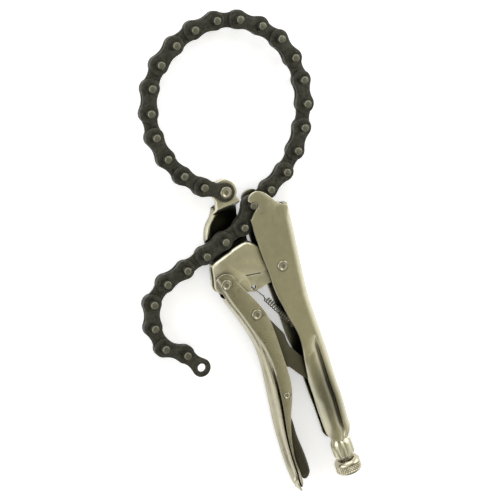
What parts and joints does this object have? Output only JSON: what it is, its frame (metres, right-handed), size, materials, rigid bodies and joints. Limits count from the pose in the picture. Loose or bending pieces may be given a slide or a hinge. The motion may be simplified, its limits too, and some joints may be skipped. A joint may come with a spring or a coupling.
{
  "type": "chain oil filter wrench",
  "caption": "Locking toggle pliers whose jaw pulls a riveted plate chain tight round an oil filter; a knurled screw sets the grip.",
  "frame": {"origin": "on the surface that the tool lies on, under the middle of the whole tool", "axes": "+Y along the adjusting screw towards the chain loop, +X away from the lever, +Z through the tool's thickness, up from the side that it lies on"},
  "size_m": [0.1642, 0.3346, 0.0198],
  "materials": {
    "plated_handle": "satin nickel plate on pressed sheet steel",
    "plated_lever": "satin nickel plate on pressed sheet steel",
    "plated_jaw": "satin nickel plate on pressed sheet steel",
    "plated_trigger": "dull nickel plate on pressed sheet steel",
    "plated_link": "dull nickel plate on flat steel",
    "screw_steel": "turned and threaded steel",
    "knob_steel": "nickel plate over a diamond knurl",
    "spring_steel": "hard-drawn spring wire",
    "chain_black": "black oxide, oiled",
    "rivet_steel": "bright cold-headed steel"
  },
  "bodies": {
    "handle": {"fixed_handle": "plated_handle", "main_rivet": "rivet_steel", "tension_spring": "spring_steel"},
    "jaw": {"jaw_back_plate": "plated_jaw", "jaw_front_shell": "plated_jaw", "chain_anchor_rivet": "rivet_steel"},
    "lever": {"lever": "plated_lever", "lever_rivet": "rivet_steel", "link_rivet": "rivet_steel", "release_rivet": "rivet_steel"},
    "toggle": {"toggle_link": "plated_link"},
    "release": {"release_lever": "plated_trigger"},
    "screw": {"adjusting_screw": "screw_steel"},
    "knob": {"knurled_knob": "knob_steel"},
    "anchor": {"anchor_plate_near": "chain_black", "anchor_plate_far": "chain_black"},
    "link_01": {"link_01_outer": "chain_black"},
    "link_02": {"link_02_inner": "chain_black"},
    "link_03": {"link_03_outer": "chain_black"},
    "link_04": {"link_04_inner": "chain_black"},
    "link_05": {"link_05_outer": "chain_black"},
    "link_06": {"link_06_inner": "chain_black"},
    "link_07": {"link_07_outer": "chain_black"},
    "link_08": {"link_08_inner": "chain_black"},
    "link_09": {"link_09_outer": "chain_black"},
    "link_10": {"link_10_inner": "chain_black"},
    "link_11": {"link_11_outer": "chain_black"},
    "link_12": {"link_12_inner": "chain_black"},
    "link_13": {"link_13_outer": "chain_black"},
    "link_14": {"link_14_inner": "chain_black"},
    "link_15": {"link_15_outer": "chain_black"},
    "link_16": {"link_16_inner": "chain_black"},
    "link_17": {"link_17_outer": "chain_black"},
    "link_18": {"link_18_inner": "chain_black"},
    "link_19": {"link_19_outer": "chain_black"},
    "link_20": {"link_20_inner": "chain_black"},
    "link_21": {"link_21_outer": "chain_black"},
    "link_22": {"link_22_inner": "chain_black"},
    "link_23": {"link_23_outer": "chain_black"},
    "link_24": {"link_24_inner": "chain_black"},
    "link_25": {"link_25_outer": "chain_black"},
    "link_26": {"link_26_inner": "chain_black"},
    "link_27": {"link_27_outer": "chain_black"},
    "link_28": {"link_28_inner": "chain_black"},
    "link_29": {"link_29_outer": "chain_black"},
    "link_30": {"link_30_inner": "chain_black"}
  },
  "joints": [
    {"name": "jaw_pivot", "type": "hinge", "parent": "handle", "child": "jaw", "pos_m": [0.02026, -0.00696, 0.0105], "axis": [0, 0, 1], "range_deg": [0, 7], "deforming": ["tension_spring"]},
    {"name": "lever_pivot", "type": "hinge", "parent": "jaw", "child": "lever", "pos_m": [-0.02094, -0.00336, 0.0105], "axis": [0, 0, 1], "range_deg": [-36.18, 0]},
    {"name": "link_pivot", "type": "hinge", "parent": "lever", "child": "toggle", "pos_m": [-0.00764, -0.03086, 0.0105], "axis": [0, 0, 1], "range_deg": [0, 43.68]},
    {"name": "release_pivot", "type": "hinge", "parent": "lever", "child": "release", "pos_m": [-0.00644, -0.09256, 0.0105], "axis": [0, 0, 1], "range_deg": [0, 6]},
    {"name": "screw_slide", "type": "slide", "parent": "handle", "child": "screw", "axis": [0, -1, 0], "range_m": [0, 0.012]},
    {"name": "knob_turn", "type": "hinge", "parent": "screw", "child": "knob", "pos_m": [0.02116, -0.15646, 0.0105], "axis": [0, 1, 0], "range_deg": [0, 2722]},
    {"name": "chain_hinge_00", "type": "hinge", "parent": "jaw", "child": "anchor", "pos_m": [0.00036, 0.05414, 0.0105], "axis": [0, 0, 1], "range_deg": [-2.11, 0]},
    {"name": "chain_hinge_01", "type": "hinge", "parent": "anchor", "child": "link_01", "pos_m": [-0.0128, 0.06302, 0.0105], "axis": [0, 0, 1], "range_deg": [-1.81, 0]},
    {"name": "chain_hinge_02", "type": "hinge", "parent": "link_01", "child": "link_02", "pos_m": [-0.02301, 0.07518, 0.0105], "axis": [0, 0, 1], "range_deg": [-1.42, 0]},
    {"name": "chain_hinge_03", "type": "hinge", "parent": "link_02", "child": "link_03", "pos_m": [-0.02946, 0.08968, 0.0105], "axis": [0, 0, 1], "range_deg": [-0.92, 0]},
    {"name": "chain_hinge_04", "type": "hinge", "parent": "link_03", "child": "link_04", "pos_m": [-0.03195, 0.10536, 0.0105], "axis": [0, 0, 1], "range_deg": [-0.38, 0]},
    {"name": "chain_hinge_05", "type": "hinge", "parent": "link_04", "child": "link_05", "pos_m": [-0.03001, 0.12112, 0.0105], "axis": [0, 0, 1], "range_deg": [0, 0.25]},
    {"name": "chain_hinge_06", "type": "hinge", "parent": "link_05", "child": "link_06", "pos_m": [-0.02381, 0.13573, 0.0105], "axis": [0, 0, 1], "range_deg": [0, 0.7]},
    {"name": "chain_hinge_07", "type": "hinge", "parent": "link_06", "child": "link_07", "pos_m": [-0.01319, 0.14753, 0.0105], "axis": [0, 0, 1], "range_deg": [0, 0.99]},
    {"name": "chain_hinge_08", "type": "hinge", "parent": "link_07", "child": "link_08", "pos_m": [0.00056, 0.15546, 0.0105], "axis": [0, 0, 1], "range_deg": [0, 1.09]},
    {"name": "chain_hinge_09", "type": "hinge", "parent": "link_08", "child": "link_09", "pos_m": [0.01566, 0.16037, 0.0105], "axis": [0, 0, 1], "range_deg": [0, 1.08]},
    {"name": "chain_hinge_10", "type": "hinge", "parent": "link_09", "child": "link_10", "pos_m": [0.03153, 0.16092, 0.0105], "axis": [0, 0, 1], "range_deg": [0, 0.93]},
    {"name": "chain_hinge_12", "type": "hinge", "parent": "link_12", "child": "link_11", "pos_m": [0.05971, 0.14718, 0.0105], "axis": [0, 0, 1], "range_deg": [-0.42, 0]},
    {"name": "chain_hinge_13", "type": "hinge", "parent": "link_13", "child": "link_12", "pos_m": [0.06948, 0.13467, 0.0105], "axis": [0, 0, 1], "range_deg": [-0.14, 0]},
    {"name": "chain_hinge_14", "type": "hinge", "parent": "link_14", "child": "link_13", "pos_m": [0.07465, 0.11966, 0.0105], "axis": [0, 0, 1], "range_deg": [0, 0.23]},
    {"name": "chain_hinge_15", "type": "hinge", "parent": "link_15", "child": "link_14", "pos_m": [0.07576, 0.10382, 0.0105], "axis": [0, 0, 1], "range_deg": [0, 0.46]},
    {"name": "chain_hinge_16", "type": "hinge", "parent": "link_16", "child": "link_15", "pos_m": [0.07273, 0.08824, 0.0105], "axis": [0, 0, 1], "range_deg": [0, 0.68]},
    {"name": "chain_hinge_17", "type": "hinge", "parent": "link_17", "child": "link_16", "pos_m": [0.06577, 0.07397, 0.0105], "axis": [0, 0, 1], "range_deg": [0, 0.86]},
    {"name": "chain_hinge_18", "type": "hinge", "parent": "link_18", "child": "link_17", "pos_m": [0.05622, 0.06129, 0.0105], "axis": [0, 0, 1], "range_deg": [0, 1.03]},
    {"name": "chain_hinge_19", "type": "hinge", "parent": "link_19", "child": "link_18", "pos_m": [0.04424, 0.05088, 0.0105], "axis": [0, 0, 1], "range_deg": [0, 1.18]},
    {"name": "chain_hinge_20", "type": "hinge", "parent": "link_20", "child": "link_19", "pos_m": [0.02985, 0.04417, 0.0105], "axis": [0, 0, 1], "range_deg": [0, 1.25]},
    {"name": "chain_hinge_21", "type": "hinge", "parent": "handle", "child": "link_20", "pos_m": [0.01484, 0.039, 0.0105], "axis": [0, 0, 1], "range_deg": [0, 1.3]},
    {"name": "hook_pivot", "type": "hinge", "parent": "handle", "child": "link_21", "pos_m": [0.01484, 0.039, 0.0105], "axis": [0, 0, 1], "range_deg": [-2, 0]},
    {"name": "chain_hinge_22", "type": "hinge", "parent": "link_21", "child": "link_22", "pos_m": [0.00401, 0.02739, 0.0105], "axis": [0, 0, 1], "range_deg": [-18, 0]},
    {"name": "chain_hinge_23", "type": "hinge", "parent": "link_22", "child": "link_23", "pos_m": [-0.01139, 0.02355, 0.0105], "axis": [0, 0, 1], "range_deg": [-10, 0]},
    {"name": "chain_hinge_24", "type": "hinge", "parent": "link_23", "child": "link_24", "pos_m": [-0.02679, 0.01971, 0.0105], "axis": [0, 0, 1], "range_deg": [-10, 0]},
    {"name": "chain_hinge_25", "type": "hinge", "parent": "link_24", "child": "link_25", "pos_m": [-0.04226, 0.01614, 0.0105], "axis": [0, 0, 1], "range_deg": [-12, 0]},
    {"name": "chain_hinge_26", "type": "hinge", "parent": "link_25", "child": "link_26", "pos_m": [-0.05785, 0.01311, 0.0105], "axis": [0, 0, 1], "range_deg": [-12, 0]},
    {"name": "chain_hinge_27", "type": "hinge", "parent": "link_26", "child": "link_27", "pos_m": [-0.07085, 0.004, 0.0105], "axis": [0, 0, 1], "range_deg": [-12, 0]},
    {"name": "chain_hinge_28", "type": "hinge", "parent": "link_27", "child": "link_28", "pos_m": [-0.07575, -0.0111, 0.0105], "axis": [0, 0, 1], "range_deg": [-14, 0]},
    {"name": "chain_hinge_29", "type": "hinge", "parent": "link_28", "child": "link_29", "pos_m": [-0.07382, -0.02685, 0.0105], "axis": [0, 0, 1], "range_deg": [-15, 0]},
    {"name": "chain_hinge_30", "type": "hinge", "parent": "link_29", "child": "link_30", "pos_m": [-0.06166, -0.03706, 0.0105], "axis": [0, 0, 1], "range_deg": [-20, 4]}
  ],
  "couplings": [
    {"joint": "lever_pivot", "follows": "jaw_pivot", "ratio": -5.0596},
    {"joint": "link_pivot", "follows": "jaw_pivot", "ratio": 6.1107},
    {"joint": "knob_turn", "follows": "screw_slide", "rad_per_m": 3957.9},
    {"joint": "chain_hinge_00", "follows": "jaw_pivot", "ratio": -0.28908},
    {"joint": "chain_hinge_01", "follows": "jaw_pivot", "ratio": -0.24707},
    {"joint": "chain_hinge_02", "follows": "jaw_pivot", "ratio": -0.19123},
    {"joint": "chain_hinge_03", "follows": "jaw_pivot", "ratio": -0.12229},
    {"joint": "chain_hinge_04", "follows": "jaw_pivot", "ratio": -0.046067},
    {"joint": "chain_hinge_05", "follows": "jaw_pivot", "ratio": 0.028335},
    {"joint": "chain_hinge_06", "follows": "jaw_pivot", "ratio": 0.090974},
    {"joint": "chain_hinge_07", "follows": "jaw_pivot", "ratio": 0.13112},
    {"joint": "chain_hinge_08", "follows": "jaw_pivot", "ratio": 0.1461},
    {"joint": "chain_hinge_09", "follows": "jaw_pivot", "ratio": 0.14377},
    {"joint": "chain_hinge_10", "follows": "jaw_pivot", "ratio": 0.12392},
    {"joint": "chain_hinge_12", "follows": "jaw_pivot", "ratio": -0.05163},
    {"joint": "chain_hinge_13", "follows": "jaw_pivot", "ratio": -0.012073},
    {"joint": "chain_hinge_14", "follows": "jaw_pivot", "ratio": 0.024639},
    {"joint": "chain_hinge_15", "follows": "jaw_pivot", "ratio": 0.05795},
    {"joint": "chain_hinge_16", "follows": "jaw_pivot", "ratio": 0.087727},
    {"joint": "chain_hinge_17", "follows": "jaw_pivot", "ratio": 0.11365},
    {"joint": "chain_hinge_18", "follows": "jaw_pivot", "ratio": 0.13777},
    {"joint": "chain_hinge_19", "follows": "jaw_pivot", "ratio": 0.15818},
    {"joint": "chain_hinge_20", "follows": "jaw_pivot", "ratio": 0.16792},
    {"joint": "chain_hinge_21", "follows": "jaw_pivot", "ratio": 0.175}
  ]
}
